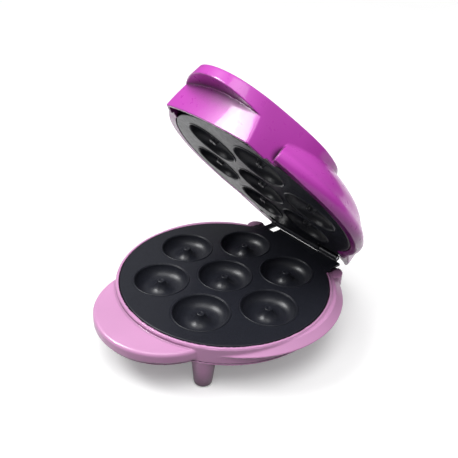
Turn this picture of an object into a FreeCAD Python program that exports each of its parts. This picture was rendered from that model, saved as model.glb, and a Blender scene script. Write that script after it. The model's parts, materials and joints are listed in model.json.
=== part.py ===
"""Mini donut maker: a light pink base on four legs and a magenta lid on a rear hinge.

Everything is modelled in the frame of the closed appliance: origin on the parting plane
at the centre of the baking plates, +Z up, +Y towards the hinge.  Placements then set the
base on the floor and swing the lid open about the hinge.  Millimetres throughout.
"""
import FreeCAD, Part
import Sketcher
import math
import os

Vector = FreeCAD.Vector

# alias, value, meaning
SIZES = [
    ("center_y", 1.6, "plate centre behind the origin"),
    ("parting_z", 48.7, "parting plane above the floor"),
    ("open_angle", 48.75, "lid opening as it stands"),
    ("hinge_y", 108.9, "hinge axis behind the plate centre"),
    ("hinge_z", 0.5, "hinge axis above the parting plane"),
    ("spacing", 0.3, "general clearance between pieces"),
    ("wall", 2.2, "housing wall"),
    # baking plates
    ("plate_rad", 98.1, "lower plate radius"),
    ("lid_plate_rad", 96.5, "upper plate radius"),
    ("plate_thick", 3.2, "plate thickness"),
    ("face_gap", 0.7, "plate face from the parting plane"),
    ("well_pitch", 60.0, "well to well"),
    ("well_ring", 14.0, "radius of the donut's centre line"),
    ("well_round", 10.4, "radius of the donut's section"),
    ("well_wall", 2.2, "metal around a well"),
    ("pin_drop", 0.7, "well pin below the face"),
    ("pin_cut_rad", 5.6, "radius over which the pin's top is cut down"),
    ("ridge_rad", 25.4, "radius of the ridge round a well"),
    ("ridge_round", 0.5, "section of that ridge"),
    ("tab_half", 54.0, "half width of the rear tab"),
    ("tab_end", 95.0, "rear edge of the tab"),
    ("ledge_left", -32.0, "lower plate's ledge under the lid's knuckle, its left end"),
    ("ledge_end", 105.3, "rear edge of that ledge"),
    ("corner_x", 52.0, "ledges outside the outer knuckles, their far end"),
    ("corner_end", 106.0, "rear edge of the lower one"),
    ("lid_corner_end", 108.5, "rear edge of the lid plate's one"),
    ("tab_chamfer", 5.0, "corner of the tab"),
    ("lid_tab_half", 57.0, "half width of the lid plate's tab"),
    ("boss_rad", 4.0, "plate boss radius"),
    ("boss_circle", 80.0, "plate bosses from the centre"),
    ("boss_drop", 13.7, "end of the bosses below the parting plane"),
    ("edge_bevel", 0.8, "bevel round a plate's edge"),
    # hinge
    ("knuckle_rad", 3.4, "hinge barrel radius"),
    ("pin_rad", 1.5, "hinge pin radius"),
    ("pin_fit", 0.05, "running clearance on the pin"),
    ("left_out", -46.5, "left knuckle, outer end"),
    ("left_in", -40.5, "left knuckle, inner end"),
    ("right_in", 23.0, "right knuckle, inner end"),
    ("right_out", 46.0, "right knuckle, outer end"),
    ("knuckle_gap", 0.5, "end play between knuckles"),
    # base housing
    ("ring_rad", 101.8, "outside of the ring round the plate"),
    ("rim_rad", 101.0, "raised rim"),
    ("rim_top", -1.0, "top of the rim"),
    ("ring_top", -2.0, "top of the ring"),
    ("seat_rad", 98.6, "opening for the plate"),
    ("ledge_rad", 94.5, "inside of the ledge under the plate"),
    ("skirt_low", -16.7, "lower edge of the upper housing"),
    ("lobe_rad", 63.6, "front handle lobe radius"),
    ("lobe_y", -67.0, "lobe centre"),
    ("lobe_top", -4.7, "lobe top"),
    ("lobe_round", 2.6, "round along the lobe's top edge"),
    ("cheek_x", 11.8, "cheek circle centre to the side"),
    ("cheek_y", 7.0, "cheek circle centre to the rear"),
    ("cheek_top_rad", 91.5, "cheek circle where it meets the ring"),
    ("cheek_rad", 98.7, "cheek circle at its widest"),
    ("cheek_low_rad", 90.2, "cheek circle at the lower edge"),
    ("cheek_top", -2.6, "cheek surface at the ring"),
    ("cheek_mid", -8.7, "cheek at its widest"),
    ("horn_x", 55.0, "rounded rear end of a cheek"),
    ("horn_y", 91.5, "its centre to the rear"),
    ("horn_rad", 10.0, "its radius"),
    ("horn_top", -3.0, "its top"),
    ("notch_half", 54.4, "half width of the hinge notch"),
    # tub and legs
    ("tub_step_rad", 97.0, "tub below the parting line"),
    ("tub_step_z", -19.0, "height of that step"),
    ("tub_bend_rad", 84.0, "tub bend radius"),
    ("tub_bend_z", -26.0, "tub bend height"),
    ("tub_floor_rad", 74.0, "flat floor radius"),
    ("tub_floor_z", -30.0, "underside of the tub"),
    ("leg_x", 58.0, "leg to the side"),
    ("leg_y", 70.0, "leg to the front and rear"),
    ("leg_top_rad", 11.0, "leg radius at the housing"),
    ("leg_low_rad", 8.0, "leg radius at the foot"),
    ("leg_low", -47.5, "end of the leg"),
    ("leg_bore", 4.6, "screw well in the leg"),
    ("screw_seat", -22.0, "seat of the housing screw"),
    ("post_rad", 5.0, "screw post of the upper housing"),
    ("post_low", -18.0, "end of the screw post"),
    ("foot_rad", 6.2, "rubber foot radius"),
    ("foot_sink", 0.6, "foot set into the leg"),
    ("screw_rad", 1.5, "screw shank radius"),
    ("head_rad", 3.0, "screw head radius"),
    ("head_high", 2.0, "screw head height"),
    ("gland_z", -20.0, "cord gland height"),
    ("gland_rad", 6.0, "cord gland outside"),
    ("gland_bore", 3.6, "cord gland bore"),
    ("gland_out", 106.0, "mouth of the gland"),
    ("gland_in", 88.0, "inner end of the gland"),
    # heating
    ("tube_rad", 3.2, "heating tube radius"),
    ("tube_ring", 60.0, "heating ring radius"),
    ("tube_angle", 336.0, "sweep of the ring"),
    ("tail_long", 15.0, "straight tails of the heater"),
    ("pan_rad", 83.5, "reflector pan flange"),
    ("pan_deep_rad", 76.0, "reflector pan floor"),
    ("pan_floor", -20.9, "reflector pan floor height"),
    ("pan_thick", 0.8, "reflector sheet"),
    # lid housing
    ("lid_wall", 2.4, "lid wall"),
    ("lid_plate_room", 0.9, "gap round the upper plate"),
    ("hinge_bay_half", 52.5, "half width of the opening over the hinge"),
    ("lid_rim_rad", 104.4, "lid dome at its rim"),
    ("lid_rim_z", 1.5, "height of that rim above the parting plane"),
    ("lid_belly_rad", 107.6, "lid dome at its widest"),
    ("lid_belly_z", 5.0, "height of the widest part"),
    ("lid_waist_rad", 100.5, "lid dome shoulder"),
    ("lid_waist_z", 14.3, "height of the shoulder"),
    ("lid_top_rad", 75.0, "lid dome top edge"),
    ("lid_top_z", 34.3, "height of the top edge"),
    ("dome_arc", 62.0, "curve of the dome above the shoulder"),
    ("dome_sweep", 283.2, "angle that the dome covers round the rear"),
    ("crown_top", 43.6, "top of the lid"),
    ("crown_foot_z", 14.0, "height of the crown's foot outline"),
    ("crown_edge_z", 46.0, "height of the crown's top outline"),
    ("crown_sphere", 802.0, "radius of the crown's shallow curve"),
    ("front_low", -2.1, "lower edge of the front wall"),
    ("front_y", -107.0, "front wall at the middle"),
    ("front_arc", 211.25, "curve of the front wall"),
    ("front_x", 52.0, "front wall corner"),
    ("front_corner_y", -100.5, "front wall corner"),
    ("side_x", 62.0, "rear end of the handle's side"),
    ("side_y", -79.0, "rear end of the handle's side"),
    ("visor_low", 24.4, "underside of the visor at the middle"),
    ("visor_arch", 272.0, "radius of the visor's arched underside"),
    ("hump_x", 74.0, "hinge cover, start of its side"),
    ("hump_wide_x", 62.0, "hinge cover, rear corner"),
    ("hump_wide_y", 104.0, "hinge cover, rear corner"),
    ("hump_rear_x", 54.0, "hinge cover, rear wall end"),
    ("hump_rear_y", 117.0, "hinge cover, rear wall"),
    ("hump_top", 18.0, "hinge cover height"),
    ("hinge_bay_top", 8.5, "opening over the knuckles"),
    ("rib_thick", 1.6, "ribs behind the front wall"),
    ("lens_x", 11.0, "indicator lens to the side"),
    ("lens_y", 5.0, "indicator lens to the rear"),
    ("lens_rad", 4.0, "indicator lens radius"),
]


class Size:
    """A length that keeps its formula in terms of the sheet's cells."""

    def __init__(self, value, formula=None):
        self.value = float(value)
        self.formula = formula or f"({self.value!r})"

    def __add__(self, other):
        other = size(other)
        return Size(self.value + other.value, f"({self.formula} + {other.formula})")

    def __sub__(self, other):
        other = size(other)
        return Size(self.value - other.value, f"({self.formula} - {other.formula})")

    def __mul__(self, other):
        other = size(other)
        return Size(self.value * other.value, f"({self.formula} * {other.formula})")

    def __truediv__(self, other):
        other = size(other)
        return Size(self.value / other.value, f"({self.formula} / {other.formula})")

    def __neg__(self):
        return Size(-self.value, f"(-{self.formula})")


def size(number):
    return number if isinstance(number, Size) else Size(number)


doc = FreeCAD.newDocument("DonutMaker")
sheet = doc.addObject("Spreadsheet::Sheet", "Sizes")
D = {}
for row, (alias, value, meaning) in enumerate(SIZES, start=1):
    sheet.set(f"A{row}", meaning)
    sheet.set(f"B{row}", str(value))
    sheet.setAlias(f"B{row}", alias)
    D[alias] = Size(value, f"Sizes.{alias}")
doc.recompute()


def bind(thing, **sizes):
    """Bind properties of a feature to sheet formulas."""
    for name, value in sizes.items():
        thing.setExpression(name, size(value).formula)
    return thing


def move(thing, x=0.0, y=0.0, z=0.0):
    bind(thing, **{"Placement.Base.x": x, "Placement.Base.y": y, "Placement.Base.z": z})
    return thing


def turn(thing, axis, angle):
    thing.Placement = FreeCAD.Placement(thing.Placement.Base, FreeCAD.Rotation(Vector(*axis), angle))
    return thing


def cylinder(name, radius, low, high, x=0.0, y=0.0):
    thing = doc.addObject("Part::Cylinder", name)
    bind(thing, Radius=radius, Height=size(high) - low)
    return move(thing, x, y, low)


def rod(name, radius, start, end, y, z):
    """A cylinder along X."""
    thing = doc.addObject("Part::Cylinder", name)
    turn(thing, (0, 1, 0), 90)
    bind(thing, Radius=radius, Height=size(end) - start)
    return move(thing, start, y, z)


def cone(name, low_radius, high_radius, low, high, x=0.0, y=0.0):
    thing = doc.addObject("Part::Cone", name)
    bind(thing, Radius1=low_radius, Radius2=high_radius, Height=size(high) - low)
    return move(thing, x, y, low)


def box(name, x, y, z):
    """A box from three (low, high) pairs."""
    thing = doc.addObject("Part::Box", name)
    bind(thing, Length=size(x[1]) - x[0], Width=size(y[1]) - y[0], Height=size(z[1]) - z[0])
    return move(thing, x[0], y[0], z[0])


def torus(name, ring, section, x=0.0, y=0.0, z=0.0, sweep=360.0):
    thing = doc.addObject("Part::Torus", name)
    bind(thing, Radius1=ring, Radius2=section, Angle3=sweep)
    return move(thing, x, y, z)


def fuse(name, things):
    thing = doc.addObject("Part::MultiFuse", name)
    thing.Shapes = things
    return thing


def cut(name, base, tools):
    thing = doc.addObject("Part::Cut", name)
    thing.Base = base
    thing.Tool = tools[0] if len(tools) == 1 else fuse(name + "_tools", tools)
    return thing


def common(name, things):
    thing = doc.addObject("Part::MultiCommon", name)
    thing.Shapes = things
    return thing


def grouped(name, things):
    thing = doc.addObject("Part::Compound", name)
    thing.Links = things
    return thing


def mirrored(name, thing):
    """The same piece on the other side of the parting plane."""
    twin = doc.addObject("Part::Mirroring", name)
    twin.Source = thing
    twin.Normal = Vector(0, 0, 1)
    return twin


def body_sketch(name, role, points):
    """A body with one closed sketch.  A third value in a point bows the line that leaves it
    into an arc of that radius, to the left of the line when positive."""
    body = doc.addObject("PartDesign::Body", name)
    sketch = body.newObject("Sketcher::SketchObject", name + "_outline")
    plane = next(f for f in body.Origin.OriginFeatures if f.Role == role)
    sketch.AttachmentSupport = [(plane, "")]
    sketch.MapMode = "FlatFace"
    corners = [(size(p[0]), size(p[1])) for p in points]
    for index, point in enumerate(points):
        start = Vector(corners[index][0].value, corners[index][1].value, 0)
        after = corners[(index + 1) % len(points)]
        end = Vector(after[0].value, after[1].value, 0)
        if len(point) == 2:
            sketch.addGeometry(Part.LineSegment(start, end))
            continue
        radius = size(point[2]).value
        chord = end - start
        left = Vector(-chord.y, chord.x, 0).normalize()
        rise = abs(radius) - math.sqrt(radius ** 2 - chord.Length ** 2 / 4)
        middle = (start + end) / 2 + left * math.copysign(rise, radius)
        sketch.addGeometry(Part.Arc(start, middle, end))
    count = len(points)
    # the ends of an arc swap when it runs clockwise, so each corner is found by its place
    def end_at(index, corner):
        place = Vector(corner[0].value, corner[1].value, 0)
        geometry = sketch.Geometry[index]
        return 1 if (geometry.StartPoint - place).Length < 1e-6 else 2
    for index, corner in enumerate(corners):
        previous = (index - 1) % count
        here, there = end_at(index, corner), end_at(previous, corner)
        sketch.addConstraint(Sketcher.Constraint("Coincident", previous, there, index, here))
        for kind, coordinate in (("DistanceX", corner[0]), ("DistanceY", corner[1])):
            datum = sketch.addConstraint(Sketcher.Constraint(kind, -1, 1, index, here, coordinate.value))
            sketch.setExpression(f"Constraints[{datum}]", coordinate.formula)
        if len(points[index]) == 3:
            radius = size(points[index][2])
            radius = radius if radius.value > 0 else -radius
            datum = sketch.addConstraint(Sketcher.Constraint("Radius", index, radius.value))
            sketch.setExpression(f"Constraints[{datum}]", radius.formula)
    return body, sketch


def spin(name, points, sweep=360.0):
    """A solid of revolution about Z from (radius, height) points."""
    body, sketch = body_sketch(name, "XZ_Plane", points)
    turned = body.newObject("PartDesign::Revolution", name + "_turned")
    turned.Profile = sketch
    turned.ReferenceAxis = (sketch, ["V_Axis"])
    turned.Midplane = True
    turned.setExpression("Angle", size(sweep).formula)
    return body


def pad(name, points, low, high):
    """A prism between two heights from (x, y) points."""
    body, sketch = body_sketch(name, "XY_Plane", points)
    block = body.newObject("PartDesign::Pad", name + "_block")
    block.Profile = sketch
    block.setExpression("Length", (size(high) - low).formula)
    return move(body, z=low)


def both_sides(points):
    """A closed outline from its right half, mirrored in x."""
    return points + [(-size(p[0]), p[1]) for p in reversed(points) if size(p[0]).value > 0]


nodes = {}


def place(node, thing, body):
    """Finish a sub-part: its label, and its place on the base or on the open lid."""
    holder = thing if thing.TypeId == "Part::Compound" else grouped(node, [thing])
    holder.Label = node
    spot = "create(<<vector>>; 0; Sizes.center_y; Sizes.parting_z)"
    angle = "-Sizes.open_angle" if body == "lid" else "0"
    swing = f"create(<<rotation>>; create(<<vector>>; 1; 0; 0); {angle})"
    axis = "create(<<vector>>; 0; Sizes.hinge_y; Sizes.hinge_z)"
    holder.setExpression("Placement", f"create(<<placement>>; {spot}; {swing}; {axis})")
    nodes[node] = holder


# ---------------------------------------------------------------- baking plates

def around(count, radius, first=0.0):
    """Places evenly spaced on a circle, as sheet formulas."""
    for index in range(count):
        angle = math.radians(first + 360 * index / count)
        yield size(radius) * round(math.cos(angle), 9), size(radius) * round(math.sin(angle), 9)


WELLS = [(0.0, 0.0)] + list(around(6, D["well_pitch"]))
BOSS_PLACES = list(around(3, D["boss_circle"], 90.0))
face = -D["face_gap"]
back = face - D["plate_thick"]


WEB_SPAN = (D["tab_end"] - 5, D["hinge_y"])


def hinge_rod(name, radius, start, end):
    """A cylinder on the hinge's axis."""
    return rod(name, radius, start, end, D["hinge_y"], D["hinge_z"])


def baking_plate(name, radius, tab, knuckle_spans, bore, ledges=()):
    """One die-cast plate, face up: seven donut wells, bosses, hinge tab, ledges and knuckles."""
    bevel = D["edge_bevel"]
    solids = [spin(name + "_disc", [(0, back), (radius - bevel, back), (radius, back + bevel),
                                    (radius, face - bevel), (radius - bevel, face), (0, face)])]
    solids.append(pad(name + "_tab", both_sides(tab), back, face))
    below = cylinder(name + "_below", radius, face - 30, face - 0.5)
    bulges, cavities = [], []
    for index, (x, y) in enumerate(WELLS):
        label = f"{name}_well{index}"
        bulges.append(torus(label + "_bulge", D["well_ring"], D["well_round"] + D["well_wall"], x, y, face))
        cavities.append(torus(label + "_cavity", D["well_ring"], D["well_round"], x, y, face))
        cavities.append(cylinder(label + "_pin_end", D["pin_cut_rad"], face - D["pin_drop"], face + 1, x, y))
        solids.append(torus(label + "_ridge", D["ridge_rad"], D["ridge_round"], x, y, face))
    solids.append(common(name + "_bulges", [fuse(name + "_all_bulges", bulges), below]))
    for index, (x, y) in enumerate(BOSS_PLACES):
        end = -D["boss_drop"]
        solids.append(cylinder(f"{name}_boss{index}", D["boss_rad"], end, back + 0.5, x, y))
        cavities.append(cylinder(f"{name}_thread{index}", D["screw_rad"], end - 1, back - 1, x, y))
    for index, (left, right) in enumerate(knuckle_spans):
        solids.append(hinge_rod(f"{name}_knuckle{index}", D["knuckle_rad"], left, right))
        solids.append(box(f"{name}_web{index}", (left, right), WEB_SPAN, (back, face)))
    for index, (left, right, end) in enumerate(ledges):
        solids.append(box(f"{name}_ledge{index}", (left, right), (WEB_SPAN[0], end), (back, face)))
    cavities.append(hinge_rod(name + "_bore", bore, D["left_out"] - 5, D["right_out"] + 5))
    return cut(name + "_cast", fuse(name + "_metal", solids), cavities)


def tab_outline(half, start_x, start_y):
    """The hinge tab of a plate, from the disc to its rear edge."""
    return [(start_x, start_y), (half, D["tab_end"] - D["tab_chamfer"]),
            (half - D["tab_chamfer"], D["tab_end"])]


lower_spans = [(D["left_out"], D["left_in"]), (D["right_in"], D["right_out"])]
lid_span = [(D["left_in"] + D["knuckle_gap"], D["right_in"] - D["knuckle_gap"])]
lower_tab = tab_outline(D["tab_half"], D["tab_half"], 60.0)
lower_ledges = [(D["ledge_left"], D["right_in"], D["ledge_end"]),
                (D["right_out"], D["corner_x"], D["corner_end"])]
place("lower_plate", baking_plate("lower", D["plate_rad"], lower_tab, lower_spans, D["pin_rad"],
                                  lower_ledges), "base")


def upper_plate():
    """The lid's plate: the same casting face down, with its knuckle between the others."""
    thing = doc.addObject("Part::Cut", "upper_plate_cut")
    tab = tab_outline(D["lid_tab_half"], 74.0, 58.0)
    metal = baking_plate("upper", D["lid_plate_rad"], tab, [], D["pin_rad"])
    flipped = mirrored("upper_flipped", metal)
    left, right = lid_span[0]
    barrel = hinge_rod("upper_barrel", D["knuckle_rad"], left, right)
    web = box("upper_web", (left, right), WEB_SPAN, (-face, -back))
    ledge = box("upper_ledge", (-D["corner_x"], D["left_out"] - D["knuckle_gap"]),
                (WEB_SPAN[0], D["lid_corner_end"]), (-face, -back))
    thing.Base = fuse("upper_metal_with_barrel", [flipped, barrel, web, ledge])
    thing.Tool = hinge_rod("upper_bore", D["pin_rad"] + D["pin_fit"], left - 5, right + 5)
    return thing


place("upper_plate", upper_plate(), "lid")
place("hinge_pin", hinge_rod("pin", D["pin_rad"], D["left_out"] + 0.5, D["right_out"] - 0.5), "base")


# ---------------------------------------------------------------- heating, once per plate

tube_z = face - D["well_round"] - D["well_wall"] - D["tube_rad"] - 0.15


half_gap = (360 - D["tube_angle"].value) / 2
tail_side = D["tube_ring"] * math.sin(math.radians(half_gap))
tail_start = D["tube_ring"] * math.cos(math.radians(half_gap)) - 0.6
bead_start = tail_start + D["tail_long"]
bead_long = 5.0


def heater(name):
    """The tubular element: an open ring under the wells with two tails to the rear."""
    ring = torus(name + "_ring", D["tube_ring"], D["tube_rad"], z=tube_z, sweep=D["tube_angle"])
    turn(ring, (0, 0, 1), 90 + half_gap)
    parts = [ring]
    for side in (-1, 1):
        tail = doc.addObject("Part::Cylinder", f"{name}_tail{side + 1}")
        turn(tail, (1, 0, 0), -90)
        bind(tail, Radius=D["tube_rad"], Height=D["tail_long"])
        parts.append(move(tail, tail_side * side, tail_start, tube_z))
    return fuse(name, parts)


def insulators(name):
    """Ceramic beads on the ends of the element's tails."""
    beads = []
    for side in (-1, 1):
        bead = doc.addObject("Part::Cone", f"{name}_bead{side + 1}")
        turn(bead, (1, 0, 0), -90)
        bind(bead, Radius1=D["tube_rad"], Radius2=D["tube_rad"] - 1, Height=bead_long)
        beads.append(move(bead, tail_side * side, bead_start, tube_z))
    return grouped(name, beads)


def reflector(name):
    """The pressed aluminium pan behind the element, with a flange on the plate's bosses."""
    high, thick, deep = -D["boss_drop"], D["pan_thick"], D["pan_floor"]
    inner, outer = D["pan_deep_rad"], D["pan_rad"]
    pan = spin(name + "_pan", [(0, deep), (inner - 2, deep), (inner, deep + 2), (inner, high - thick),
                               (outer, high - thick), (outer, high), (inner - thick, high),
                               (inner - thick, deep + 2.4), (inner - 2.4, deep + thick), (0, deep + thick)])
    holes = [cylinder(f"{name}_hole{i}", D["screw_rad"] + 0.2, high - 3, high + 1, x, y)
             for i, (x, y) in enumerate(BOSS_PLACES)]
    tails = box(name + "_tail_slot", (-17, 17), (70, 90), (deep - 1, high + 1))
    leads = [cylinder(f"{name}_lead_hole{i}", 2.5, deep - 1, deep + 2, 8 * side, between)
             for i, side in enumerate((-1, 1))]
    return cut(name + "_sheet", pan, holes + leads + [tails])


def plate_screws(name):
    """Screws that clamp the pan to the plate's bosses."""
    screws = []
    for index, (x, y) in enumerate(BOSS_PLACES):
        seat = -D["boss_drop"] - D["pan_thick"]
        shank = cylinder(f"{name}_shank{index}", D["screw_rad"], seat, back - 2, x, y)
        head = cylinder(f"{name}_head{index}", D["head_rad"], seat - D["head_high"], seat, x, y)
        screws.append(fuse(f"{name}{index}", [shank, head]))
    return grouped(name, screws)


between = D["well_pitch"] * 0.577
FITTINGS = {"heating_element": heater, "element_insulators": insulators,
            "reflector": reflector, "plate_screws": plate_screws}
for fitting, make in FITTINGS.items():
    place("lower_" + fitting, make("lower_" + fitting), "base")
    place("upper_" + fitting, mirrored(f"upper_{fitting}_flipped", make("lid_" + fitting)), "lid")

# controls against the back of the plates, in the spaces between the wells
place("thermostat", fuse("thermostat_parts", [
    cylinder("thermostat_cap", 7.2, back - 4.1, back - 0.1, 0, between),
    cylinder("thermostat_body", 6.4, back - 9.1, back - 4.1, 0, between),
    box("thermostat_blades", (-9.5, 9.5), (between - 1.5, between + 1.5), (back - 10.1, back - 8.8)),
]), "base")
for node, body, sign in (("lower_thermal_fuse", "base", 1), ("upper_thermal_fuse", "lid", -1)):
    can = fuse(node + "_parts", [rod(node + "_can", 2.2, -6, 6, -between, back - 2.4),
                                 rod(node + "_leads", 0.5, -8, 8, -between, back - 2.4)])
    place(node, can if sign > 0 else mirrored(node + "_flipped", can), body)
block_side, block_low = 20, -20.2
block = box("terminal_body", (block_side, 36), (77.5, 83.5), (block_low, -14.8))
terminals = [cylinder(f"terminal_hole{i}", 1.6, -18, -14, 24 + 8 * i, 80.5) for i in range(2)]
place("terminal_block", cut("terminal_block_cut", block, terminals), "base")


# ---------------------------------------------------------------- base housing

LEGS = [(sx * 1.0, sy * 1.0) for sx in (-1, 1) for sy in (-1, 1)]


def leg_spots():
    """The four legs, as sheet formulas."""
    return [(D["leg_x"] * sx, D["leg_y"] * sy) for sx, sy in LEGS]


def lobe(name, radius, top, low, rounding):
    """The round front handle."""
    disc = spin(name, [(0, low), (radius - 1, low), (radius, top - rounding, -rounding),
                       (radius - rounding, top), (0, top)])
    return move(disc, y=D["lobe_y"])


def cheek(name, side, inset):
    """One side of the skirt: flares out from the ring, then turns back in under its widest line."""
    high = cone(name + "_high", D["cheek_rad"] - inset, D["cheek_top_rad"] - inset,
                D["cheek_mid"], D["cheek_top"] - inset)
    low = cone(name + "_low", D["cheek_low_rad"] - inset, D["cheek_rad"] - inset,
               D["skirt_low"] - inset, D["cheek_mid"])
    for half in (high, low):
        bind(half, **{"Placement.Base.x": D["cheek_x"] * side, "Placement.Base.y": D["cheek_y"]})
    return fuse(name, [high, low])


def base_upper_shell():
    """Ring round the plate with the handle lobe, the flared cheeks and the hinge notch."""
    low, wall = D["skirt_low"], D["wall"]
    outer = [cylinder("ring", D["ring_rad"], low, D["ring_top"]),
             cylinder("rim", D["rim_rad"], low, D["rim_top"]),
             lobe("lobe_outer", D["lobe_rad"], D["lobe_top"], low, D["lobe_round"])]
    pockets = [lobe("lobe_inner", D["lobe_rad"] - wall, D["lobe_top"] - wall, low - 1, 1.0)]
    for side in (-1, 1):
        outer.append(cheek(f"cheek{side + 1}", side, 0))
        pockets.append(cheek(f"cheek_inner{side + 1}", side, wall))
        horn = D["horn_x"] * side
        outer.append(cylinder(f"horn{side + 1}", D["horn_rad"], low, D["horn_top"], horn, D["horn_y"]))
    ring_kept = cylinder("ring_kept", D["ring_rad"] - 0.4, low - 5, 0)
    outside_ring = cut("pockets_outside_ring", fuse("pockets", pockets), [ring_kept])
    seat, ledge, ceiling = D["seat_rad"], D["ledge_rad"], 10
    opening = spin("plate_opening", [(0, low - 1), (seat, low - 1), (seat, back - wall), (ledge, back - wall),
                                     (ledge, back), (seat, back), (seat, ceiling), (0, ceiling)])
    notch = box("notch", (-D["notch_half"], D["notch_half"]), (60, 130), (back - D["spacing"], ceiling))
    gland = cylinder_y("shell_gland_way", D["gland_rad"] + 3 + D["spacing"], 70, 120, D["gland_z"])
    hollow = cut("shell_hollow", fuse("shell_outer", outer), [outside_ring, opening, notch, gland])
    posts = [cylinder(f"post{i}", D["post_rad"], D["post_low"], back - D["spacing"], x, y)
             for i, (x, y) in enumerate(leg_spots())]
    pilots = [cylinder(f"pilot{i}", D["screw_rad"], D["post_low"] - 1, back - 4, x, y)
              for i, (x, y) in enumerate(leg_spots())]
    return cut("base_upper_shell_cut", fuse("shell_whole", [hollow] + posts), pilots)


def cylinder_y(name, radius, start, end, z, x=0.0):
    """A cylinder along Y."""
    thing = doc.addObject("Part::Cylinder", name)
    turn(thing, (1, 0, 0), -90)
    bind(thing, Radius=radius, Height=size(end) - start)
    return move(thing, x, start, z)


def tub_profile(inset, top):
    """Half section of the shallow pan, from the axis out."""
    return [(0, D["tub_floor_z"] + inset), (D["tub_floor_rad"] - inset / 2, D["tub_floor_z"] + inset),
            (D["tub_bend_rad"] - inset, D["tub_bend_z"] + inset / 2),
            (D["tub_step_rad"] - inset, D["tub_step_z"] + inset / 4),
            (D["tub_step_rad"] - inset, top), (0, top)]


def base_tub():
    """The lower housing: a shallow pan, the cover under the handle lobe and four hollow legs."""
    wall, top = D["wall"], D["skirt_low"] - D["spacing"] / 3
    pan = spin("tub_pan", tub_profile(size(0), top))
    flange = cylinder("tub_flange", D["ring_rad"], D["tub_step_z"], top)
    lobe_cover = cylinder("tub_lobe_cover", D["lobe_rad"] - 3, top - 2, top, 0, D["lobe_y"])
    legs = [cone(f"leg{i}", D["leg_low_rad"], D["leg_top_rad"], D["leg_low"], top, x, y)
            for i, (x, y) in enumerate(leg_spots())]
    inlet = cylinder_y("tub_inlet", D["gland_rad"] + 3, 84, D["gland_out"] - 6, D["gland_z"])
    outer = fuse("tub_outer", [pan, flange, lobe_cover, inlet] + legs)
    hollow = spin("tub_hollow", tub_profile(wall, top + 1))
    kept = [cylinder(f"leg_column{i}", D["leg_bore"] + wall, D["leg_low"], D["post_low"] - D["spacing"], x, y)
            for i, (x, y) in enumerate(leg_spots())]
    shell = fuse("tub_with_columns", [cut("tub_shell", outer, [hollow]), common(
        "tub_columns", [fuse("tub_column_set", kept), fuse("tub_column_limit", [pan] + legs)])])
    tools = [cylinder_y("inlet_hole", D["gland_rad"], 70, 120, D["gland_z"])]
    for index, (x, y) in enumerate(leg_spots()):
        tools.append(cylinder(f"screw_well{index}", D["leg_bore"], D["leg_low"] - 1, D["screw_seat"], x, y))
        tools.append(cylinder(f"screw_hole{index}", D["screw_rad"] + 0.2, D["screw_seat"] - 1, top + 1, x, y))
        tools.append(cylinder(f"foot_seat{index}", D["foot_rad"], D["leg_low"] - 1,
                              D["leg_low"] + D["foot_sink"], x, y))
        tools.append(cylinder(f"post_room{index}", D["post_rad"] + D["spacing"],
                              D["post_low"] - D["spacing"], top + 1, x, y))
    return cut("base_tub_cut", shell, tools)


def housing_screws():
    """Screws up through the legs into the posts of the upper housing."""
    screws = []
    for index, (x, y) in enumerate(leg_spots()):
        shank = cylinder(f"housing_shank{index}", D["screw_rad"], D["screw_seat"], back - 5, x, y)
        head = cylinder(f"housing_head{index}", D["head_rad"], D["screw_seat"] - D["head_high"],
                        D["screw_seat"], x, y)
        screws.append(fuse(f"housing_screw{index}", [shank, head]))
    return grouped("housing_screw_set", screws)


def foot_pads():
    """Rubber feet: a disc set into the end of each leg, with a plug up its bore."""
    feet = []
    for index, (x, y) in enumerate(leg_spots()):
        disc = cylinder(f"foot_disc{index}", D["foot_rad"], -D["parting_z"],
                        D["leg_low"] + D["foot_sink"], x, y)
        plug = cylinder(f"foot_plug{index}", D["leg_bore"], D["leg_low"], D["leg_low"] + 5, x, y)
        feet.append(fuse(f"foot{index}", [disc, plug]))
    return grouped("foot_set", feet)


def cord_gland():
    """The bush that lines the cord's way out at the rear."""
    parts = [cylinder_y("gland_sleeve", D["gland_rad"], D["gland_in"], D["gland_out"] - 6, D["gland_z"]),
             cylinder_y("gland_lip", D["gland_rad"] + 2.5, D["gland_out"] - 6, D["gland_out"], D["gland_z"])]
    return cut("gland_cut", fuse("gland_whole", parts),
               [cylinder_y("gland_way", D["gland_bore"], 70, 120, D["gland_z"])])


place("base_upper_shell", base_upper_shell(), "base")
place("base_tub", base_tub(), "base")
place("housing_screws", housing_screws(), "base")
place("foot_pads", foot_pads(), "base")
place("cord_gland", cord_gland(), "base")


# ---------------------------------------------------------------- lid housing

def lid_dome(name, inset):
    """The round part of the lid, open towards the handle."""
    low = D["lid_rim_z"] if inset.value == 0 else size(-6)
    dome = spin(name, [(0, low), (D["lid_rim_rad"] - inset, low),
                       (D["lid_belly_rad"] - inset, D["lid_belly_z"]),
                       (D["lid_waist_rad"] - inset, D["lid_waist_z"] - inset * 0.6, -D["dome_arc"]),
                       (D["lid_top_rad"] - inset, D["lid_top_z"] - inset),
                       (0, D["lid_top_z"] + 5.5 - inset)], D["dome_sweep"])
    return turn(dome, (0, 0, 1), 90)


def arch_block(name, shift, start, end):
    """Everything below the arched line that the visor's underside follows."""
    arch = doc.addObject("Part::Cylinder", name)
    turn(arch, (1, 0, 0), -90)
    bind(arch, Radius=D["visor_arch"], Height=size(end) - start)
    return move(arch, 0, start, D["visor_low"] - D["visor_arch"] + shift)


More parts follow.
